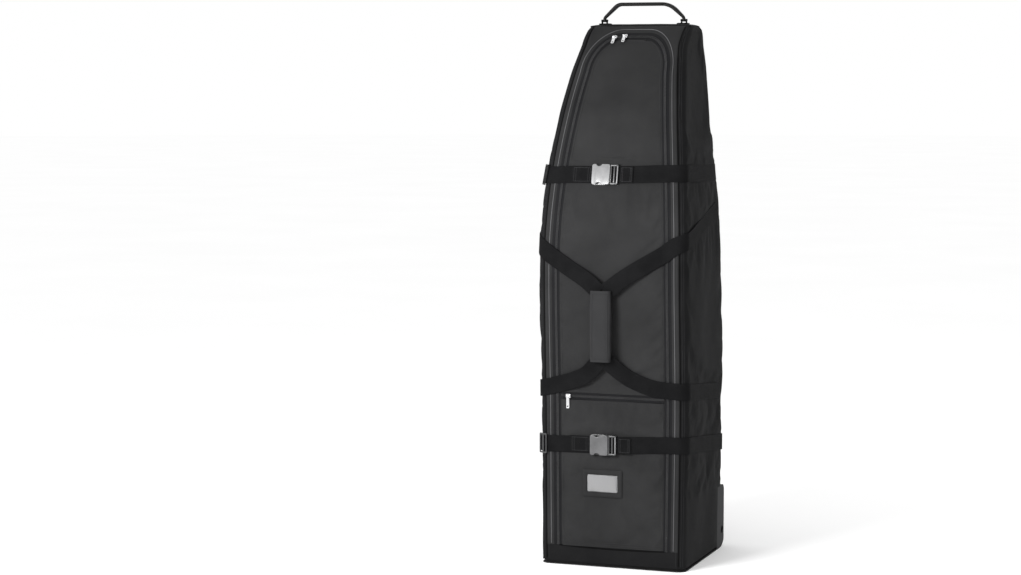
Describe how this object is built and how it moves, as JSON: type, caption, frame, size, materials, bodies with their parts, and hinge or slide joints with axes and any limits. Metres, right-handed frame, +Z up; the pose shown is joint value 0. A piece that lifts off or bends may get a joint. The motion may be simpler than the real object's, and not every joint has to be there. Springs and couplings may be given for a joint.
{
  "type": "golf travel case",
  "caption": "Tall soft-sided golf travel case with a zipped front cover, compression straps, carry handles, a front pocket and inline wheels in the rear corners.",
  "frame": {"origin": "middle of the base, on the ground, at the middle of the object's width and depth", "axes": "+Z up along the bag, -Y out of the zipped front, +X to the right of someone who faces the front"},
  "size_m": [0.3548, 0.4147, 1.282],
  "materials": {
    "front_fabric": "padded coated polyester, matt charcoal",
    "side_fabric": "padded coated polyester, near black",
    "coarse_mesh": "coarse ballistic weave",
    "lining": "thin plain weave",
    "foam": "foam behind lining",
    "zip_tape": "woven zip tape with moulded coil",
    "piping": "fabric covered cord",
    "board": "stiffener board",
    "nickel": "polished nickel plate",
    "window_trim": "stitched binding",
    "clear_vinyl": "clear flexible vinyl",
    "card": "blank card",
    "webbing": "ribbed woven webbing",
    "buckle_plastic": "satin moulded acetal",
    "grip_fabric": "wrapped and stitched",
    "handle_rubber": "soft grip",
    "housing_plastic": "moulded, fine texture",
    "axle_steel": "turned steel",
    "wheel_tyre": "glossy polyurethane",
    "wheel_hub": "moulded hub"
  },
  "bodies": {
    "bag": {"cover_lower": "front_fabric", "pocket_panel": "front_fabric", "pocket_lining": "lining", "pocket_zip_tape": "zip_tape", "front_kick": "side_fabric", "zip_border": "side_fabric", "zip_tape_fixed": "zip_tape", "zip_tape_lower": "zip_tape", "seam_piping": "piping", "side_panel_left": "side_fabric", "side_panel_right": "side_fabric", "back_panel": "side_fabric", "rear_mesh": "coarse_mesh", "top_panel": "side_fabric", "bottom_panel": "coarse_mesh", "base_board": "board", "lining": "lining", "club_padding": "foam", "id_frame": "window_trim", "id_window": "clear_vinyl", "id_card": "card", "upper_strap_left": "webbing", "upper_strap_right": "webbing", "lower_strap_left": "webbing", "lower_strap_right": "webbing", "upper_tri_glide": "buckle_plastic", "lower_ladder_bar": "nickel", "upper_buckle_female": "buckle_plastic", "lower_buckle_female": "buckle_plastic", "carry_web_upper_left": "webbing", "carry_web_upper_right": "webbing", "carry_web_lower_left": "webbing", "carry_web_lower_right": "webbing", "top_handle_anchors": "webbing", "wheel_housing_left": "housing_plastic", "wheel_housing_right": "housing_plastic", "wheel_axle_left": "axle_steel", "wheel_axle_right": "axle_steel", "housing_screws": "axle_steel"},
    "flap": {"cover_flap": "front_fabric", "zip_tape_flap": "zip_tape"},
    "zip_slider_left": {"zip_slider_left": "nickel"},
    "zip_slider_right": {"zip_slider_right": "nickel"},
    "zip_pull_left": {"zip_pull_left": "nickel"},
    "zip_pull_right": {"zip_pull_right": "nickel"},
    "pocket_slider": {"pocket_slider": "nickel"},
    "pocket_pull": {"pocket_pull": "nickel"},
    "upper_clip": {"upper_buckle_male": "buckle_plastic", "upper_buckle_prongs": "buckle_plastic"},
    "lower_clip": {"lower_buckle_male": "buckle_plastic", "lower_buckle_prongs": "buckle_plastic"},
    "carry_grip": {"carry_grip": "grip_fabric"},
    "top_handle": {"top_handle_loop": "handle_rubber", "top_handle_sleeve": "handle_rubber"},
    "wheel_left": {"wheel_tyre_left": "wheel_tyre", "wheel_hub_left": "wheel_hub", "wheel_bearings_left": "axle_steel"},
    "wheel_right": {"wheel_tyre_right": "wheel_tyre", "wheel_hub_right": "wheel_hub", "wheel_bearings_right": "axle_steel"}
  },
  "joints": [
    {"name": "flap_fold", "type": "hinge", "parent": "bag", "child": "flap", "pos_m": [0, -0.13561, 0.93562], "axis": [1, 0, 0], "range_deg": [0, 115]},
    {"name": "zip_left_run", "type": "slide", "parent": "flap", "child": "zip_slider_left", "axis": [-1, 0, 0], "range_m": [0, 0.012]},
    {"name": "zip_right_run", "type": "slide", "parent": "flap", "child": "zip_slider_right", "axis": [1, 0, 0], "range_m": [0, 0.05]},
    {"name": "pull_left_swing", "type": "hinge", "parent": "zip_slider_left", "child": "zip_pull_left", "pos_m": [-0.046, -0.00614, 1.20173], "axis": [-1, 0, 0], "range_deg": [0, 150]},
    {"name": "pull_right_swing", "type": "hinge", "parent": "zip_slider_right", "child": "zip_pull_right", "pos_m": [-0.022, -0.00294, 1.2045], "axis": [-1, 0, 0], "range_deg": [0, 150]},
    {"name": "pocket_zip_run", "type": "slide", "parent": "bag", "child": "pocket_slider", "axis": [1, 0, 0], "range_m": [0, 0.2]},
    {"name": "pocket_pull_swing", "type": "hinge", "parent": "pocket_slider", "child": "pocket_pull", "pos_m": [-0.104, -0.16297, 0.3888], "axis": [-1, 0, 0], "range_deg": [0, 150]},
    {"name": "upper_buckle_release", "type": "slide", "parent": "bag", "child": "upper_clip", "axis": [1, 0, 0], "range_m": [0, 0.03], "deforming": ["upper_strap_right", "upper_buckle_prongs"]},
    {"name": "lower_buckle_release", "type": "slide", "parent": "bag", "child": "lower_clip", "axis": [1, 0, 0], "range_m": [0, 0.03], "deforming": ["lower_strap_right", "lower_buckle_prongs"]},
    {"name": "carry_grip_lift", "type": "slide", "parent": "bag", "child": "carry_grip", "axis": [0, -1, 0], "range_m": [0, 0.08], "deforming": ["carry_web_upper_left", "carry_web_upper_right", "carry_web_lower_left", "carry_web_lower_right"]},
    {"name": "top_handle_swing", "type": "hinge", "parent": "bag", "child": "top_handle", "pos_m": [0, 0.095, 1.24], "axis": [1, 0, 0], "range_deg": [-50, 50]},
    {"name": "wheel_left_spin", "type": "hinge", "parent": "bag", "child": "wheel_left", "pos_m": [-0.129, 0.168, 0.041], "axis": [1, 0, 0], "continuous": true},
    {"name": "wheel_right_spin", "type": "hinge", "parent": "bag", "child": "wheel_right", "pos_m": [0.129, 0.168, 0.041], "axis": [1, 0, 0], "continuous": true}
  ]
}
